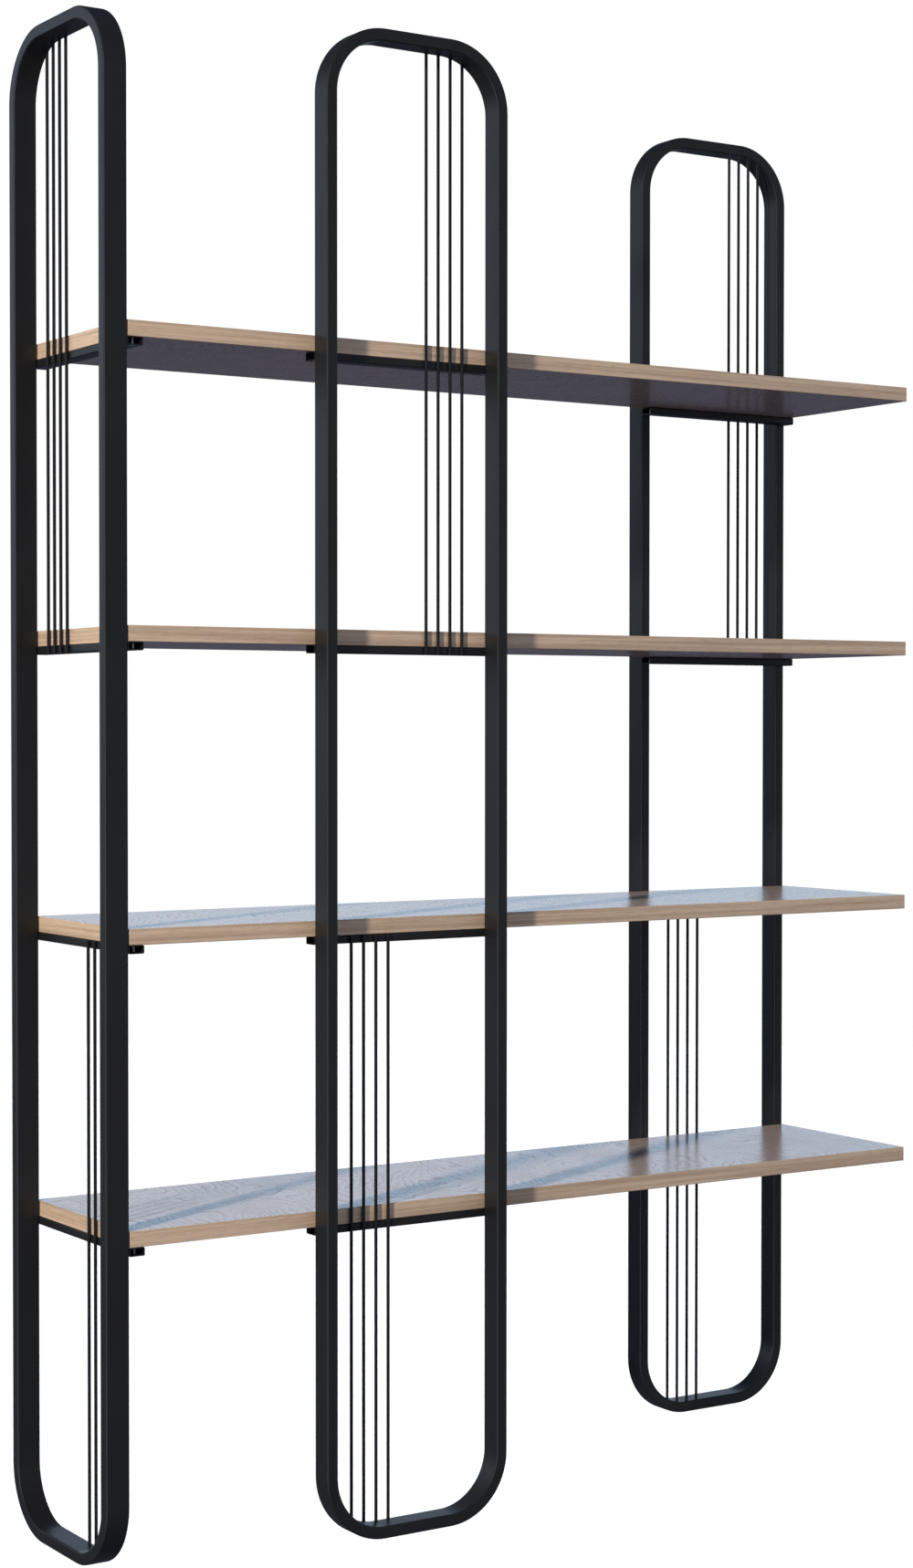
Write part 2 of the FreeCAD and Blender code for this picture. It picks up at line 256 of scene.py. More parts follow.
# %% [markdown]
# ## The floor
# The bookcase stands on a pale floor that runs into the white behind it. A round sheet with a lamp of its
# own, straight down and without shadows, stays even all over. From below the sheet is clear, so that the
# undersides of the shelves can be looked at too.

# %% Lay the floor and light it
FLOOR_RADIUS = 5.0
FLOOR_CORNERS = 128
FLOOR_COLOUR = (0.90, 0.90, 0.90)
FLOOR_ROUGHNESS = 0.9
FLOOR_SHINE = 0.1
FLOOR_LAMP_STRENGTH = 3.6
WHITE = (1.0, 1.0, 1.0)
STRAIGHT_DOWN = (0, 0, -1)

bpy.ops.object.select_all(action="DESELECT")
bpy.ops.mesh.primitive_circle_add(vertices=FLOOR_CORNERS, radius=FLOOR_RADIUS, fill_type="NGON")
floor = bpy.context.object
floor.name = "floor"
floor_material, floor_shader = new_material("floor")
pale_inputs = {"Base Color": FLOOR_COLOUR, "Roughness": FLOOR_ROUGHNESS, "Specular IOR Level": FLOOR_SHINE}
pale = floor_shader.node("ShaderNodeBsdfPrincipled", None, pale_inputs)
clear = floor_shader.node("ShaderNodeBsdfTransparent")
from_below = floor_shader.node("ShaderNodeNewGeometry", output="Backfacing")
one_sided = floor_shader.node("ShaderNodeMixShader", None, {0: from_below, 1: pale, 2: clear})
floor_shader.node("ShaderNodeOutputMaterial", None, {"Surface": one_sided})
floor.data.materials.append(floor_material)
floor.visible_diffuse = False
floor.visible_glossy = False
floor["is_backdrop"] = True
floor_lamp = hang_lamp("SUN", "floor_lamp", WHITE, STRAIGHT_DOWN, FLOOR_LAMP_STRENGTH)
floor_lamp.data.use_shadow = False
link_lamp(floor_lamp, "INCLUDE", floor)
print("Floor radius:", FLOOR_RADIUS, "m")

# %% [markdown]
# ## The key light
# A low warm light from the left rakes along the fronts of the shelves, so each upright throws a narrow
# shadow on the edge beside it. A sun would throw all the shadows the same way. A small disk some metres off
# makes them fan out a little from shelf to shelf, which is how they lie in the picture.

# %% Hang the key
KEY_HEADING = math.radians(63)
KEY_HEIGHT = math.radians(28)
KEY_DISTANCE = 7.2
KEY_SIZE = 0.46
KEY_SPREAD = math.radians(110)
KEY_POWER = 208.0
KEY_COLOUR = (1.0, 0.92, 0.80)
KEY_AIM = (-0.2, 0.0, 0.3)

key_travel = Vector((
    math.sin(KEY_HEADING) * math.cos(KEY_HEIGHT),
    math.cos(KEY_HEADING) * math.cos(KEY_HEIGHT),
    -math.sin(KEY_HEIGHT),
))
key = hang_lamp("AREA", "key", KEY_COLOUR, key_travel, KEY_POWER)
key.location = Vector(KEY_AIM) - key_travel * KEY_DISTANCE
key.data.shape = "DISK"
key.data.size = KEY_SIZE
key.data.spread = KEY_SPREAD
link_lamp(key, "EXCLUDE", floor)
print("The key stands", KEY_DISTANCE, "m away, at", [round(side, 2) for side in key.location])

# %% [markdown]
# ## Fill and back lamps
# Steel and edge bands that the key does not reach would go black. Two broad suns lift them, a cool one from
# the front and a warm one from behind on the right. The shelf faces get enough from the sky, so they are
# left out of both.

# %% Hang the fill and back lamps
FILL_TRAVEL = (-0.25, 0.90, -0.35)
FILL_STRENGTH = 0.72
FILL_SOFTNESS = math.radians(80)
FILL_COLOUR = (0.84, 0.89, 1.0)
BACK_LAMP_TRAVEL = (-0.55, -0.83, 0.0)
BACK_LAMP_STRENGTH = 2.2
BACK_LAMP_SOFTNESS = math.radians(40)

shelf_panels = [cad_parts[name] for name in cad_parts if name.endswith("_shelf_panel")]
fill = hang_sun("fill", FILL_COLOUR, FILL_TRAVEL, FILL_STRENGTH, FILL_SOFTNESS)
link_lamp(fill, "EXCLUDE", floor, *shelf_panels)
back_lamp = hang_sun("back_lamp", KEY_COLOUR, BACK_LAMP_TRAVEL, BACK_LAMP_STRENGTH, BACK_LAMP_SOFTNESS)
link_lamp(back_lamp, "EXCLUDE", floor, *shelf_panels)
print("Hung", fill.name, "and", back_lamp.name)

# %% [markdown]
# ## Shine on lacquer and steel
# Satin surfaces show light as a sheen. One wide sun gives the shelf tops theirs when they are looked at
# from behind. Another draws a thin pale line along the rounded edges of the tubes, and is linked to the
# loops once they stand. Neither lights anything else, so they can be as strong as the sheen needs.

# %% Hang the sheen and edge lamps
SHEEN_TRAVEL = (0.15, 0.80, -0.58)
SHEEN_STRENGTH = 2.4
SHEEN_SOFTNESS = math.radians(120)
SHEEN_COLOUR = (0.80, 0.90, 1.0)
EDGE_LAMP_TRAVEL = (0.85, 0.53, 0.0)
EDGE_LAMP_STRENGTH = 1.9
EDGE_LAMP_SOFTNESS = math.radians(80)

sheen_lamp = hang_sun("sheen_lamp", SHEEN_COLOUR, SHEEN_TRAVEL, SHEEN_STRENGTH, SHEEN_SOFTNESS)
shine_only(sheen_lamp)
link_lamp(sheen_lamp, "INCLUDE", *shelf_panels)
edge_lamp = hang_sun("edge_lamp", SHEEN_COLOUR, EDGE_LAMP_TRAVEL, EDGE_LAMP_STRENGTH, EDGE_LAMP_SOFTNESS)
shine_only(edge_lamp)
print("Hung", sheen_lamp.name, "and", edge_lamp.name)

# %% [markdown]
# ## The sky
# The camera sees plain white behind the bookcase, but paint and lacquer mirror a sky. It is palest behind
# the bookcase and round the key, dim in front, so that black tube stays black, and dark overhead, with a
# pale wall at the front right. It is painted by direction, so that one part can be tuned without the
# others. Each pair of numbers says where, on a scale from -1 to 1, one part gives way to the next.

# %% Choose the colours of the sky
SIDE_AT_HORIZON = (0.56, 0.66, 0.72)
SIDE_HIGHER = (0.80, 1.00, 1.30)
AHEAD_AT_HORIZON = (0.70, 0.83, 0.90)
AHEAD_HIGHER = (0.94, 1.22, 1.60)
SKY_ABOVE = (0.03, 0.045, 0.10)
SKY_IN_FRONT = (0.095, 0.097, 0.110)
SKY_ROUND_KEY = (0.85, 0.96, 1.15)
PALE_WALL = (0.50, 0.52, 0.58)
GROUND = (0.082, 0.092, 0.136)
HORIZON_TO_HIGHER = (0.03, 0.17)
FRONT_TO_SIDE = (-0.6, 0.6)
SIDE_TO_AHEAD = (0.6, 0.95)
SKY_TO_KEY = (0.75, 0.97)
HIGHER_TO_ABOVE = (0.18, 0.45)
GROUND_TO_SKY = (-0.02, 0.0)
WALL_AT_RIGHT = (0.50, 0.70)
WALL_AT_FRONT = (-0.6, -0.4)
WALL_FOOT = (-0.5, -0.1)
WALL_TOP = (0.15, 0.35)
print("The sky ahead goes from", AHEAD_AT_HORIZON, "at the horizon to", AHEAD_HIGHER)

# %% Paint the sky
bpy.context.scene.view_settings.view_transform = "Standard"
world = bpy.data.worlds.new("sky")
world.use_nodes = True
bpy.context.scene.world = world
sky = Shader(world.node_tree)
to_right, to_back, up = sky.parts(sky.node("ShaderNodeTexCoord", output="Generated"))
ahead = to_right * math.sin(CAMERA_HEADING) + to_back * math.cos(CAMERA_HEADING)
to_key = 0 - to_right * math.sin(KEY_HEADING) - to_back * math.cos(KEY_HEADING)
lift = sky.between(up, *HORIZON_TO_HIGHER)
side_sky = sky.blend(lift, SIDE_AT_HORIZON, SIDE_HIGHER)
ahead_sky = sky.blend(lift, AHEAD_AT_HORIZON, AHEAD_HIGHER)
front_half = sky.blend(sky.between(ahead, *FRONT_TO_SIDE), SKY_IN_FRONT, side_sky)
all_round = sky.blend(sky.between(ahead, *SIDE_TO_AHEAD), front_half, ahead_sky)
low_sky = sky.blend(sky.between(to_key, *SKY_TO_KEY), all_round, SKY_ROUND_KEY)
whole_sky = sky.blend(sky.between(up, *HIGHER_TO_ABOVE), low_sky, SKY_ABOVE)
open_world = sky.blend(sky.between(up, *GROUND_TO_SKY), GROUND, whole_sky)
wall_width = sky.between(to_right, *WALL_AT_RIGHT) * (1 - sky.between(to_back, *WALL_AT_FRONT))
wall_height = sky.between(up, *WALL_FOOT) * (1 - sky.between(up, *WALL_TOP))
lit_world = sky.blend(wall_width * wall_height, open_world, PALE_WALL)
seen_directly = sky.node("ShaderNodeLightPath", output="Is Camera Ray")
background = sky.node("ShaderNodeBackground", None, {"Color": sky.blend(seen_directly, lit_world, WHITE)})
sky.node("ShaderNodeOutputWorld", None, {"Surface": background})
print("Painted", world.name, "with", len(world.node_tree.nodes), "nodes")

# %% [markdown]
# ## Black powder coat
# Powder is sprayed on dry and melts into one skin over tube, rails and bars. It is satin, not glossy, and
# close up it has a faint orange peel. Two fine noises drive a shallow bump, and a coarse one changes the
# black and the roughness a little from place to place, as a real coat does.

# %% Mix the powder coat
PEEL_CELLS = (420.0, 420.0, 420.0)
GRIT_CELLS = (1600.0, 1600.0, 1600.0)
CLOUD_CELLS = (9.0, 9.0, 9.0)
COAT_DARK = (0.0084, 0.0085, 0.0090)
COAT_PALE = (0.0130, 0.0131, 0.0136)
COAT_ROUGHNESS, CLOUD_ROUGHNESS, GRIT_ROUGHNESS = 0.34, 0.10, 0.06
COAT_SHINE = 0.38
GRIT_HEIGHT = 0.4
PEEL_DEPTH, PEEL_STRENGTH = 0.00006, 0.35


def powder_coat(name):
    material, shader = new_material(name)
    place = shader.place()
    peel = shader.noise(place, PEEL_CELLS, detail=1.0)
    grit = shader.noise(place, GRIT_CELLS, detail=0.0)
    cloud = shader.noise(place, CLOUD_CELLS, detail=3.0)
    shader.surface({
        "Base Color": shader.blend(cloud, COAT_DARK, COAT_PALE),
        "Roughness": COAT_ROUGHNESS + cloud * CLOUD_ROUGHNESS + grit * GRIT_ROUGHNESS,
        "Specular IOR Level": COAT_SHINE,
        "Normal": shader.bump(peel + grit * GRIT_HEIGHT, PEEL_DEPTH, PEEL_STRENGTH),
    })
    return material


black_coat = powder_coat("black_powder_coat")
print("Made", black_coat.name)

# %% [markdown]
# ## Growth rings
# The veneer is peeled almost along the growth rings, so they wander over the shelf like the contour lines
# of a map. A wave texture would give even stripes. Here a slowly rolling height is cut into years instead,
# and a ring is where it passes a whole number of them. The line between two years is strong in some patches
# and faint in others.

# %% Draw the growth rings
RING_SPACING = 0.0068
RING_SLOPE = 0.50
SWIRL_CELLS, SWIRL_HEIGHT = (8.0, 6.0, 3.0), 0.12
RIPPLE_CELLS, RIPPLE_HEIGHT = (34.0, 26.0, 3.0), 0.014
PATCH_CELLS, PATCH_RANGE = (16.0, 24.0, 3.0), (0.36, 0.62)
LATE_WOOD_RANGE = (0.15, 0.85)
YEAR_LINE_RANGE = (0.05, 0.25)
FAINTEST_LINE = 0.20


def growth_rings(shader, place, along):
    """How far on in its year the wood is, and how strong the line is between two years."""
    swirl = shader.noise(place, SWIRL_CELLS, detail=1.0)
    ripple = shader.noise(place, RIPPLE_CELLS, detail=1.0)
    year = (along * RING_SLOPE + swirl * SWIRL_HEIGHT + ripple * RIPPLE_HEIGHT) / RING_SPACING
    within_year = year.fraction()
    patch = shader.between(shader.noise(place, PATCH_CELLS, detail=1.0), *PATCH_RANGE)
    line = 1 - shader.between(within_year, *YEAR_LINE_RANGE)
    return shader.between(within_year, *LATE_WOOD_RANGE), line * (FAINTEST_LINE + patch * (1 - FAINTEST_LINE))


print("A year of growth:", RING_SPACING, "m")

# %% [markdown]
# ## Lacquered oak veneer
# Oak has pores that show as fine dark dashes, most of them in the early wood. Rings and pores press into a
# clear lacquer that mirrors at low angles. The undersides look plainer in the picture, so their relief is
# weaker: the height on the shelf tells which face it is, and one material does for both.

# %% Choose the colours and relief of the veneer
PORE_CELLS, PORE_RANGE = (75.0, 1250.0, 1250.0), (0.53, 0.64)
FIBRE_CELLS = (14.0, 620.0, 620.0)
TONE_CELLS = (1.3, 5.0, 4.0)
EARLY_WOOD = (0.450, 0.353, 0.302)
LATE_WOOD = (0.535, 0.430, 0.374)
DEEP_TONE = (0.366, 0.285, 0.238)
YEAR_LINE = (0.130, 0.085, 0.090)
PORE = (0.230, 0.145, 0.105)
TONE_SHARE, FIBRE_SHARE, YEAR_LINE_SHARE, PORE_SHARE = 0.4, 0.30, 0.26, 0.30
FEWER_LATE_PORES = 0.75
PORE_RELIEF, FIBRE_RELIEF, UNDERSIDE_RELIEF = 0.15, 0.04, 0.2
RELIEF_DEPTH, RELIEF_STRENGTH = 0.00025, 0.6
LACQUER_ROUGHNESS, YEAR_LINE_ROUGHNESS, PORE_ROUGHNESS = 0.25, 0.06, 0.04
LACQUER_COAT, YEAR_LINE_COAT, COAT_BLUR = 0.12, 0.04, 0.20
TOP_FACE_RANGE = (0.02, 0.04)
UNDERSIDE_MARGIN = 0.005

lowest_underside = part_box("bottom_shelf_panel")[0].z
shelf_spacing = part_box("lower_shelf_panel")[0].z - lowest_underside
print("Shelf spacing:", round(shelf_spacing, 4), "m")


# %% Grow the veneer
def oak_veneer(name):
    material, shader = new_material(name)
    place = shader.place()
    along, _, height = shader.parts(place)
    late_wood, year_line = growth_rings(shader, place, along)
    pores = shader.between(shader.noise(place, PORE_CELLS, detail=1.0), *PORE_RANGE)
    early_pores = pores * (1.0 - late_wood * FEWER_LATE_PORES)
    fibre = shader.noise(place, FIBRE_CELLS, detail=2.0)
    tone = shader.noise(place, TONE_CELLS, detail=2.0)
    ground = shader.blend(late_wood, EARLY_WOOD, LATE_WOOD)
    toned = shader.blend(tone * TONE_SHARE + fibre * FIBRE_SHARE, ground, DEEP_TONE)
    lined = shader.blend(year_line * YEAR_LINE_SHARE, toned, YEAR_LINE)
    above_underside = (height - lowest_underside) / shelf_spacing
    is_top = shader.between((above_underside + UNDERSIDE_MARGIN).fraction(), *TOP_FACE_RANGE)
    line_relief = year_line * (UNDERSIDE_RELIEF + is_top * (1 - UNDERSIDE_RELIEF))
    relief = 1.0 - early_pores * PORE_RELIEF - line_relief + fibre * FIBRE_RELIEF
    shader.surface({
        "Base Color": shader.blend(early_pores * PORE_SHARE, lined, PORE),
        "Roughness": LACQUER_ROUGHNESS + year_line * YEAR_LINE_ROUGHNESS + early_pores * PORE_ROUGHNESS,
        "Normal": shader.bump(relief, RELIEF_DEPTH, RELIEF_STRENGTH),
        "Coat Weight": LACQUER_COAT - year_line * YEAR_LINE_COAT,
        "Coat Roughness": COAT_BLUR,
    })
    return material


veneer = oak_veneer("lacquered_oak_veneer")
print("Made", veneer.name)

# %% [markdown]
# ## Oak edge bands
# The bands are strips of solid oak cut along the grain, so they show straight streaks and no arches. Noise
# that is stretched along the strip gives streaks, and the same formula does for all of them: it is
# stretched along X on the long bands and along Y on the short ones.

# %% Cut the edge bands' finish
STREAK_LENGTHWISE, STREAK_CROSSWISE, STREAK_RANGE = 3.5, 260.0, (0.36, 0.66)
FINE_LENGTHWISE, FINE_CROSSWISE = 12.0, 1100.0
DASH_LENGTHWISE, DASH_CROSSWISE, DASH_RANGE = 60.0, 1700.0, (0.60, 0.70)
EDGE_PALE = (0.570, 0.420, 0.295)
EDGE_DARK = (0.370, 0.258, 0.176)
EDGE_FIBRE = (0.620, 0.475, 0.345)
EDGE_DASH = (0.220, 0.140, 0.092)
FINE_SHARE, DASH_SHARE = 0.45, 0.30
EDGE_ROUGHNESS, FINE_ROUGHNESS = 0.42, 0.12
FINE_RELIEF, DASH_RELIEF = 0.3, 0.7
EDGE_RELIEF_DEPTH, EDGE_RELIEF_STRENGTH = 0.00008, 0.4
EDGE_COAT, EDGE_COAT_BLUR = 0.15, 0.2


def oak_edge(name, along):
    """Straight oak grain that runs along axis 0 or 1."""
    def cells(lengthwise, crosswise):
        scale = [crosswise] * 3
        scale[along] = lengthwise
        return scale

    material, shader = new_material(name)
    place = shader.place()
    streak = shader.noise(place, cells(STREAK_LENGTHWISE, STREAK_CROSSWISE), detail=3.0)
    fine = shader.noise(place, cells(FINE_LENGTHWISE, FINE_CROSSWISE), detail=2.0)
    speckle = shader.noise(place, cells(DASH_LENGTHWISE, DASH_CROSSWISE), detail=0.0)
    dash = shader.between(speckle, *DASH_RANGE)
    streaked = shader.blend(shader.between(streak, *STREAK_RANGE), EDGE_PALE, EDGE_DARK)
    fibred = shader.blend(fine * FINE_SHARE, streaked, EDGE_FIBRE)
    relief = 1.0 - dash * DASH_RELIEF + fine * FINE_RELIEF
    shader.surface({
        "Base Color": shader.blend(dash * DASH_SHARE, fibred, EDGE_DASH),
        "Roughness": EDGE_ROUGHNESS + fine * FINE_ROUGHNESS,
        "Normal": shader.bump(relief, EDGE_RELIEF_DEPTH, EDGE_RELIEF_STRENGTH),
        "Coat Weight": EDGE_COAT,
        "Coat Roughness": EDGE_COAT_BLUR,
    })
    return material


long_edge = oak_edge("oak_edge_along_shelf", 0)
short_edge = oak_edge("oak_edge_across_shelf", 1)
print("Made", long_edge.name, "and", short_edge.name)

# %% [markdown]
# ## Zinc-plated screws
# The screws are bright steel with a thin zinc plate that dulls unevenly. One noise is enough for so small a
# piece: it clouds the colour, the roughness and a very shallow bump together.

# %% Plate the screws
ZINC_CELLS = (700.0, 700.0, 700.0)
ZINC_DULL = (0.46, 0.46, 0.47)
ZINC_BRIGHT = (0.66, 0.66, 0.67)
ZINC_ROUGHNESS, ZINC_CLOUD_ROUGHNESS = 0.26, 0.2
ZINC_RELIEF_DEPTH, ZINC_RELIEF_STRENGTH = 0.00003, 0.3

zinc, zinc_shader = new_material("zinc_plate")
zinc_cloud = zinc_shader.noise(zinc_shader.place(), ZINC_CELLS, detail=2.0)
zinc_shader.surface({
    "Base Color": zinc_shader.blend(zinc_cloud, ZINC_DULL, ZINC_BRIGHT),
    "Metallic": 1.0,
    "Roughness": ZINC_ROUGHNESS + zinc_cloud * ZINC_CLOUD_ROUGHNESS,
    "Normal": zinc_shader.bump(zinc_cloud, ZINC_RELIEF_DEPTH, ZINC_RELIEF_STRENGTH),
})
print("Made", zinc.name)

# %% [markdown]
# ## Modelling by hand, in code
# Each piece below is made as at the screen: add a primitive, open it in edit mode, pick faces or edges by
# where they are, and bevel, extrude or spin them. At the screen the picking is done with the mouse. In code
# a rule does it, which still holds when a size changes.


# %% Define how pieces are opened and picked
def only(piece):
    """Select one piece and nothing else, and make it active."""
    bpy.ops.object.select_all(action="DESELECT")
    piece.select_set(True)
    bpy.context.view_layer.objects.active = piece


def open_piece(piece):
    only(piece)
    bpy.ops.object.mode_set(mode="EDIT")
    bpy.ops.mesh.select_all(action="SELECT")


def close_piece():
    bpy.ops.object.mode_set(mode="OBJECT")


def pick(piece, kind, wanted):
    """In edit mode, select the verts, edges or faces for which wanted is true."""
    modes = {"verts": "VERT", "edges": "EDGE", "faces": "FACE"}
    bpy.ops.mesh.select_mode(type=modes[kind])
    bpy.ops.mesh.select_all(action="DESELECT")
    mesh = bmesh.from_edit_mesh(piece.data)
    for item in getattr(mesh, kind):
        if wanted(item):
            item.select_set(True)
    mesh.select_flush_mode()
    bmesh.update_edit_mesh(piece.data)


# %% [markdown]
# ## Placing and finishing
# A finished piece keeps its place in its mesh and its object at the origin, as the CAD nodes do. So every
# copy is turned and moved, and the move is applied. Shading by angle makes round edges look round, and
# weighted normals keep the broad faces between them flat.

# %% Define how pieces are placed and finished
NEAR = 0.00001
SMOOTH_ANGLE = math.radians(40)


def centre_of(node):
    """The middle of a CAD node's box."""
    low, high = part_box(node)
    return (low + high) / 2


def foot_of(node):
    """The point on the floor under the middle of a CAD node's box."""
    foot = centre_of(node)
    foot.z = 0
    return foot


def apply_modifier(piece, kind, **settings):
    only(piece)
    modifier = piece.modifiers.new(kind, kind)
    for name, setting in settings.items():
        setattr(modifier, name, setting)
    bpy.ops.object.modifier_apply(modifier=modifier.name)


def apply_place(piece, place=(0, 0, 0), turn=(0, 0, 0)):
    """Turn a piece, move it, and keep both in its mesh."""
    piece.rotation_euler = turn
    piece.location = place
    only(piece)
    bpy.ops.object.transform_apply(location=True, rotation=True, scale=True)


def copy_of(piece, name):
    """A copy with a mesh of its own."""
    copy = piece.copy()
    copy.data = piece.data.copy()
    copy.name = name
    bpy.context.scene.collection.objects.link(copy)
    return copy


def close_seams(piece):
    """Weld doubled points and turn every face outwards."""
    open_piece(piece)
    bpy.ops.mesh.remove_doubles(threshold=NEAR)
    bpy.ops.mesh.normals_make_consistent(inside=False)
    close_piece()


def smooth(piece, angle=SMOOTH_ANGLE):
    """Shade round edges as round, and keep the broad flats flat."""
    only(piece)
    bpy.ops.object.shade_smooth_by_angle(angle=angle)
    apply_modifier(piece, "WEIGHTED_NORMAL", keep_sharp=True)


def fit_out(piece, material, slot, *nodes):
    """Give a finished piece its material, and let it stand for its CAD nodes."""
    piece.data.materials.clear()
    piece.data.materials.append(material)
    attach(piece, "root")
    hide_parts(*nodes)


# %% [markdown]
# ## The loop frames
# Each frame is one length of flat tube bent round to meet itself. A curve with a bevel profile could make
# it, but its profile twists and thins in tight bends. By hand it is a rounded outline that is extruded up a
# straight run, spun round a bend, and so on until it comes back to where it began.


# %% Draw a rounded outline
def rounded_outline(name, side_x, side_y, radius, steps):
    """A rectangle of edges round the origin, with round corners."""
    bpy.ops.object.select_all(action="DESELECT")
    bpy.ops.mesh.primitive_plane_add(size=1)
    outline = bpy.context.object
    outline.name = name
    outline.scale = (side_x, side_y, 1)
    apply_place(outline)
    open_piece(outline)
    bpy.ops.mesh.bevel(offset=radius, segments=steps, affect="VERTICES")
    bpy.ops.mesh.select_all(action="SELECT")
    bpy.ops.mesh.delete(type="ONLY_FACE")
    close_piece()
    return outline


# %% Bend one loop
TUBE_WIDTH = 0.015
BEND_RADIUS = 0.075
TUBE_EDGE_ROUND = 0.002
EDGE_STEPS = 4
BEND_STEPS = 24

frame_low, frame_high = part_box("middle_frame")
frame_width, tube_depth, frame_height = frame_high - frame_low
run_across = frame_width - TUBE_WIDTH - 2 * BEND_RADIUS
run_up = frame_height - TUBE_WIDTH - 2 * BEND_RADIUS
upright = (frame_width - TUBE_WIDTH) / 2
bend_side = run_across / 2
bend_low = TUBE_WIDTH / 2 + BEND_RADIUS
bend_high = bend_low + run_up
runs = [
    ((0, 0, run_up), (bend_side, 0, bend_high)),
    ((-run_across, 0, 0), (-bend_side, 0, bend_high)),
    ((0, 0, -run_up), (-bend_side, 0, bend_low)),
    ((run_across, 0, 0), (bend_side, 0, bend_low)),
]

loop = rounded_outline("loop", TUBE_WIDTH, tube_depth, TUBE_EDGE_ROUND, EDGE_STEPS)
apply_place(loop, (upright, 0, bend_low))
open_piece(loop)
for run, bend_centre in runs:
    bpy.ops.mesh.extrude_region_move(TRANSFORM_OT_translate={"value": run})
    bpy.ops.mesh.spin(steps=BEND_STEPS, angle=math.pi / 2, center=bend_centre, axis=(0, 1, 0))
close_piece()
close_seams(loop)
smooth(loop)
print("Loop:", len(loop.data.polygons), "faces,", [round(side, 4) for side in loop.dimensions])

# %% [markdown]
# ## Three loops from one
# The left loop stands across the ends of the shelves, so it is turned a quarter round. The middle one
# stands in front of them and the right one behind. They are alike, so all three are copies of one loop.

# %% Stand the three loops in their places
FRAME_TURNS = {"left": math.pi / 2, "middle": 0, "right": 0}

tube_loops = []
for side, turn in FRAME_TURNS.items():
    tube_loop = copy_of(loop, f"{side}_loop")
    apply_place(tube_loop, foot_of(f"{side}_frame"), (0, 0, turn))
    fit_out(tube_loop, black_coat, "frame_black", f"{side}_frame")
    tube_loops.append(tube_loop)
bpy.data.objects.remove(loop)
link_lamp(edge_lamp, "INCLUDE", *tube_loops)
print("Stood", len(tube_loops), "loops")

# %% [markdown]
# ## The upright bars
# Four thin bars near each end of a loop keep books from sliding through it. A bar is round stock, cut at
# one end to the inside of the loop and welded there, and cut square at a cross rail at the other. By hand
# that is a cylinder, bisected along the loop's inner face, whose cut end is spread a little for the weld.

# %% Find where a bar meets its loop
inner_bend = BEND_RADIUS - TUBE_WIDTH / 2


def loop_meets(offset, group):
    """Where a bar's axis reaches the inside of the loop, and which way is into the tube there."""
    past_bend = max(abs(offset) - bend_side, 0)
    rise = math.sqrt(inner_bend ** 2 - past_bend ** 2)
    inwards = Vector((math.copysign(past_bend, offset), 0, rise)).normalized()
    if group == "upper":
        return Vector((0, 0, bend_high + rise)), inwards
    inwards.z = -inwards.z
    return Vector((0, 0, bend_low - rise)), inwards


print("Inside of a bend:", round(inner_bend, 4), "m")

# %% Shape a bar
BAR_SIDES = 24
BAR_SPARE = 0.03
WELD_DEPTH = 0.0012
WELD_HEIGHT = 0.0014
WELD_SPREAD = 1.35
CUT_EASE, CUT_STEPS = 0.0003, 2


def make_bar(group, number):
    """A bar round the Z axis, at its own height, shaped for its place in the loop."""
    rod = f"middle_{group}_rod_{number}"
    low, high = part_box(rod)
    meets, inwards = loop_meets(centre_of(rod).x - centre_of("middle_frame").x, group)
    square_end = low.z if group == "upper" else high.z
    far_end = meets.z + math.copysign(BAR_SPARE, inwards.z)
    bpy.ops.object.select_all(action="DESELECT")
    size = {"radius": (high.x - low.x) / 2, "depth": abs(far_end - square_end)}
    bpy.ops.mesh.primitive_cylinder_add(vertices=BAR_SIDES, **size)
    bar = bpy.context.object
    apply_place(bar, (0, 0, (far_end + square_end) / 2))
    open_piece(bar)
    sunk_end = meets + inwards * WELD_DEPTH
    bpy.ops.mesh.bisect(plane_co=sunk_end, plane_no=inwards, use_fill=True, clear_outer=True)
    bpy.ops.mesh.select_all(action="SELECT")
    weld_start = meets - inwards * WELD_HEIGHT
    bpy.ops.mesh.bisect(plane_co=weld_start, plane_no=inwards)
    pick(bar, "verts", lambda corner: abs((corner.co - sunk_end).dot(inwards)) < NEAR)
    bpy.ops.transform.resize(value=(WELD_SPREAD, 1, WELD_SPREAD), center_override=sunk_end)
    pick(bar, "edges", lambda edge: all(abs(end.co.z - square_end) < NEAR for end in edge.verts))
    bpy.ops.mesh.bevel(offset=CUT_EASE, segments=CUT_STEPS)
    close_piece()
    smooth(bar)
    return bar


# %% Stand the bars in the loops
BARS_IN_GROUP = 4

bar_count = 0
for group in ("upper", "lower"):
    for number in range(1, BARS_IN_GROUP + 1):
        bar = make_bar(group, number)
        for side, turn in FRAME_TURNS.items():
            rod = f"{side}_{group}_rod_{number}"
            placed = copy_of(bar, f"{side}_{group}_bar_{number}")
            apply_place(placed, foot_of(rod), (0, 0, turn))
            fit_out(placed, black_coat, "rod_black", rod)
            bar_count += 1
        bpy.data.objects.remove(bar)
print("Stood", bar_count, "bars")

# %% [markdown]
# ## Turned shapes
# A screw and the drill that makes room for it are both turned on the same axis. Cylinders and cones could
# be joined to make them, but that leaves walls inside. By hand it is one point, drawn out along half of the
# outline and spun right round.

# %% Turn the drill
SCREW_HEAD_RADIUS = 0.0040
SCREW_RADIUS = 0.0020
HOLE_CLEARANCE = 0.0001
TURN_STEPS = 32


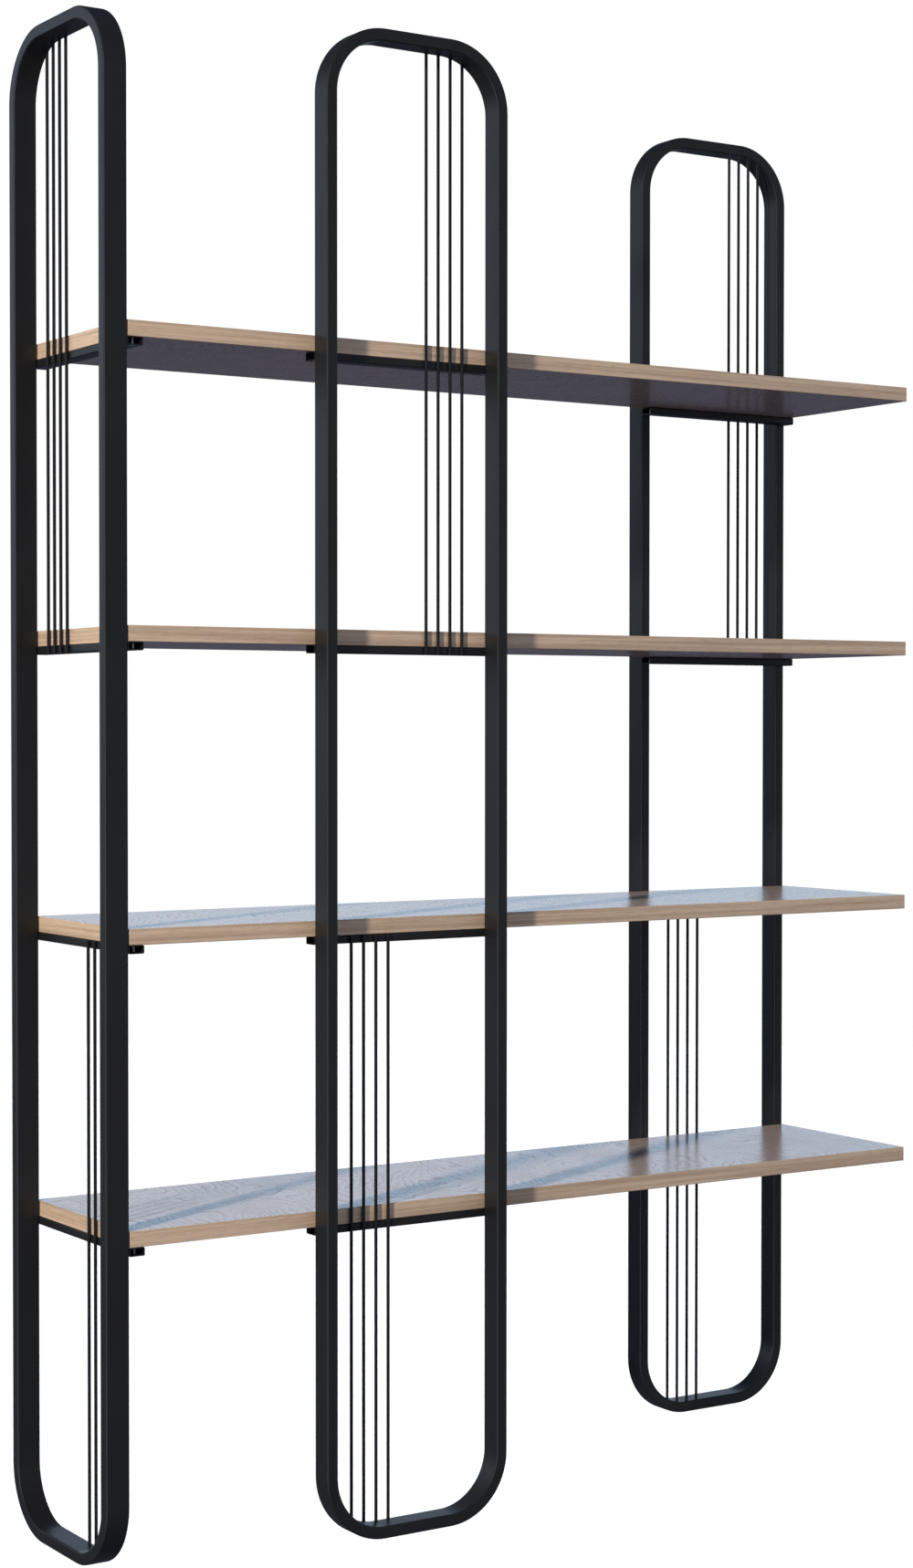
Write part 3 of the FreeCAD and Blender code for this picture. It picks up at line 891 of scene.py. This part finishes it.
def turned(name, outline):
    """A solid turned round Z from the radius and height of each corner of its half outline."""
    bpy.ops.object.select_all(action="DESELECT")
    bpy.ops.mesh.primitive_plane_add(size=SCREW_RADIUS)
    piece = bpy.context.object
    piece.name = name
    open_piece(piece)
    bpy.ops.mesh.select_mode(type="VERT")
    bpy.ops.mesh.merge(type="CENTER")
    radius, height = outline[0]
    bpy.ops.transform.translate(value=(radius, 0, height))
    for next_radius, next_height in outline[1:]:
        step = (next_radius - radius, 0, next_height - height)
        bpy.ops.mesh.extrude_vertices_move(TRANSFORM_OT_translate={"value": step})
        radius, height = next_radius, next_height
    bpy.ops.mesh.select_all(action="SELECT")
    bpy.ops.mesh.spin(steps=TURN_STEPS, angle=2 * math.pi, center=(0, 0, 0), axis=(0, 0, 1))
    close_piece()
    close_seams(piece)
    return piece


rail_low, rail_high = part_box("bottom_shelf_middle_rail")
rail_length, rail_depth, rail_height = rail_high - rail_low
head_hole = SCREW_HEAD_RADIUS + HOLE_CLEARANCE
shank_hole = SCREW_RADIUS + HOLE_CLEARANCE
drill = turned("drill", [
    (0, -rail_height),
    (head_hole, -rail_height),
    (head_hole, 0),
    (shank_hole, head_hole - shank_hole),
    (shank_hole, 2 * rail_height),
    (0, 2 * rail_height),
])
print("Drill:", len(drill.data.polygons), "faces")

# %% [markdown]
# ## The cross rails
# A rail is a short piece of small box tube with both ends open, drilled and countersunk from below. It is
# the same outline as the loops at another size, extruded once. Solidify gives the wall, so the open ends
# show its thickness, and a Boolean with the drill makes the holes.

# %% Model one rail
RAIL_WALL = 0.0012
RAIL_EDGE_ROUND = 0.0017
SCREW_INSET = 0.008

rail = rounded_outline("rail", rail_height, rail_depth, RAIL_EDGE_ROUND, EDGE_STEPS)
apply_place(rail, (-rail_length / 2, 0, 0), (0, math.pi / 2, 0))
open_piece(rail)
bpy.ops.mesh.extrude_region_move(TRANSFORM_OT_translate={"value": (rail_length, 0, 0)})
close_piece()
close_seams(rail)
apply_modifier(rail, "SOLIDIFY", thickness=RAIL_WALL, offset=-1)
screw_offset = rail_length / 2 - SCREW_INSET
for offset in (-screw_offset, screw_offset):
    cutter = copy_of(drill, "cutter")
    apply_place(cutter, (offset, 0, -rail_height / 2))
    apply_modifier(rail, "BOOLEAN", operation="DIFFERENCE", object=cutter, solver="EXACT")
    bpy.data.objects.remove(cutter)
smooth(rail)
print("Rail:", len(rail.data.polygons), "faces,", [round(side, 4) for side in rail.dimensions])

# %% Fit the rails under the shelves
SHELVES = ("bottom", "lower", "upper", "top")

for shelf in SHELVES:
    for side, turn in FRAME_TURNS.items():
        rail_node = f"{shelf}_shelf_{side}_rail"
        placed = copy_of(rail, f"{shelf}_shelf_{side}_cross_tube")
        apply_place(placed, centre_of(rail_node), (0, 0, turn))
        fit_out(placed, black_coat, "rail_black", rail_node)
for spare in (rail, drill):
    bpy.data.objects.remove(spare)
print("Fitted", len(SHELVES) * len(FRAME_TURNS), "rails")

# %% [markdown]
# ## The shelf screws
# Two countersunk wood screws come up through each rail into the shelf. The shank is turned, and the cross
# recess is cut with two tapered blades. The thread is a small triangle that the Screw modifier winds up the
# core, which is far less work than drawing a helix.

# %% Turn the shank and cut the recess
HEAD_RIM = 0.0003
CORE_RADIUS = 0.0014
THREAD_START = 0.0045
POINT_LENGTH = 0.0035
BLADE_LENGTH, BLADE_WIDTH, BLADE_DEPTH = 0.0046, 0.0009, 0.0019
BLADE_TAPER = 0.45
FACING_UP = 0.9

screw_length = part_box("shelf_screws")[1].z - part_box("top_shelf_left_rail")[0].z
screw = turned("screw", [
    (0, 0),
    (SCREW_HEAD_RADIUS - HEAD_RIM, 0),
    (SCREW_HEAD_RADIUS, HEAD_RIM),
    (SCREW_RADIUS, HEAD_RIM + SCREW_HEAD_RADIUS - SCREW_RADIUS),
    (SCREW_RADIUS, THREAD_START - HEAD_RIM),
    (CORE_RADIUS, THREAD_START),
    (CORE_RADIUS, screw_length - POINT_LENGTH),
    (0, screw_length),
])
for turn in (0, math.pi / 2):
    bpy.ops.object.select_all(action="DESELECT")
    bpy.ops.mesh.primitive_cube_add(size=1)
    blade = bpy.context.object
    blade.scale = (BLADE_LENGTH, BLADE_WIDTH, 2 * BLADE_DEPTH)
    apply_place(blade, turn=(0, 0, turn))
    open_piece(blade)
    pick(blade, "faces", lambda face: face.normal.z > FACING_UP)
    bpy.ops.transform.resize(value=(BLADE_TAPER, BLADE_TAPER, 1), center_override=(0, 0, BLADE_DEPTH))
    close_piece()
    apply_modifier(screw, "BOOLEAN", operation="DIFFERENCE", object=blade, solver="EXACT")
    bpy.data.objects.remove(blade)
print("Screw length:", round(screw_length, 4), "m")

# %% Wind the thread
THREAD_CORNERS = 3
THREAD_PITCH = 0.0018
THREAD_TURNS = 7
THREAD_STEPS = 16
THREAD_SMOOTH_ANGLE = math.radians(35)

bpy.ops.object.select_all(action="DESELECT")
bpy.ops.mesh.primitive_circle_add(vertices=THREAD_CORNERS, radius=SCREW_RADIUS - CORE_RADIUS)
thread = bpy.context.object
apply_place(thread, (CORE_RADIUS, 0, THREAD_START), (0, math.pi / 2, math.pi / 2))
winding = {"iterations": THREAD_TURNS, "steps": THREAD_STEPS, "render_steps": THREAD_STEPS}
apply_modifier(thread, "SCREW", screw_offset=THREAD_PITCH, **winding)
open_piece(thread)
bpy.ops.mesh.fill_holes(sides=THREAD_CORNERS)
bpy.ops.mesh.normals_make_consistent(inside=False)
close_piece()
only(screw)
thread.select_set(True)
bpy.ops.object.join()
smooth(screw, THREAD_SMOOTH_ANGLE)
print("Screw:", len(screw.data.polygons), "faces,", [round(side, 4) for side in screw.dimensions])

# %% [markdown]
# ## Driving the screws
# Twenty-four screws go in, and no two end up with the cross the same way round, so each copy is turned one
# radian further than the last. The CAD model keeps them all in one node, so they are joined into one piece.

# %% Drive the screws
screws = []
for shelf in SHELVES:
    for side, turn in FRAME_TURNS.items():
        rail_node = f"{shelf}_shelf_{side}_rail"
        along_rail = Vector((math.cos(turn), math.sin(turn), 0))
        for offset in (-screw_offset, screw_offset):
            place = centre_of(rail_node) + along_rail * offset
            place.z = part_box(rail_node)[0].z
            driven = copy_of(screw, f"{shelf}_shelf_{side}_screw")
            apply_place(driven, place, (0, 0, len(screws)))
            screws.append(driven)
bpy.data.objects.remove(screw)
only(screws[0])
for driven in screws:
    driven.select_set(True)
bpy.ops.object.join()
screw_set = bpy.context.object
screw_set.name = "shelf_screw_set"
fit_out(screw_set, zinc, "screw_steel", "shelf_screws")
print("Drove", len(screws), "screws:", len(screw_set.data.polygons), "faces")

# %% [markdown]
# ## The edge bands
# Each shelf is edged with four thin strips of oak, and a light sanding has taken the sharpness off the
# outer corners. A Bevel modifier would round the inner corners too, where strip and board meet flush. So a
# strip is a cube at its size, whose outer edges alone are picked by where they lie and bevelled.

# %% Model a strip
BAND_ROUND = 0.0009
BAND_STEPS = 3


def make_strip(name, length, thickness, height, round_ends):
    """A strip along X whose outer face looks towards -Y."""
    bpy.ops.object.select_all(action="DESELECT")
    bpy.ops.mesh.primitive_cube_add(size=1)
    strip = bpy.context.object
    strip.name = name
    strip.scale = (length, thickness, height)
    apply_place(strip)

    def outer_edge(edge):
        start, end = (corner.co for corner in edge.verts)
        stands = abs(start.z - end.z) > NEAR
        return start.y < 0 and end.y < 0 and (round_ends or not stands)

    open_piece(strip)
    pick(strip, "edges", outer_edge)
    bpy.ops.mesh.bevel(offset=BAND_ROUND, segments=BAND_STEPS)
    close_piece()
    smooth(strip)
    return strip


# %% Edge the shelves
BAND_TURNS = {"front": 0, "back": math.pi, "left": -math.pi / 2, "right": math.pi / 2}

for edge, turn in BAND_TURNS.items():
    low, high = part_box(f"bottom_shelf_{edge}_band")
    is_long = edge in ("front", "back")
    length, thickness = sorted((high - low).xy, reverse=True)
    strip = make_strip("strip", length, thickness, high.z - low.z, is_long)
    for shelf in SHELVES:
        band = f"{shelf}_shelf_{edge}_band"
        placed = copy_of(strip, f"{shelf}_shelf_{edge}_strip")
        apply_place(placed, centre_of(band), (0, 0, turn))
        fit_out(placed, long_edge if is_long else short_edge, "oak_edge", band)
    bpy.data.objects.remove(strip)
print("Edged", len(SHELVES), "shelves with", len(SHELVES) * len(BAND_TURNS), "strips")

# %% [markdown]
# ## The shelf panels
# The boards between the strips are flat and square, as the CAD model has them. There is nothing to add to
# their shape, so they stay as they are and only get the veneer.

# %% Veneer the panels
for panel in shelf_panels:
    panel.data.materials.clear()
    panel.data.materials.append(veneer)
print("Veneered", len(shelf_panels), "panels")

# %% Measure and finish
low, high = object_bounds()
print("Visual box in metres:", [round(side, 4) for side in high - low])
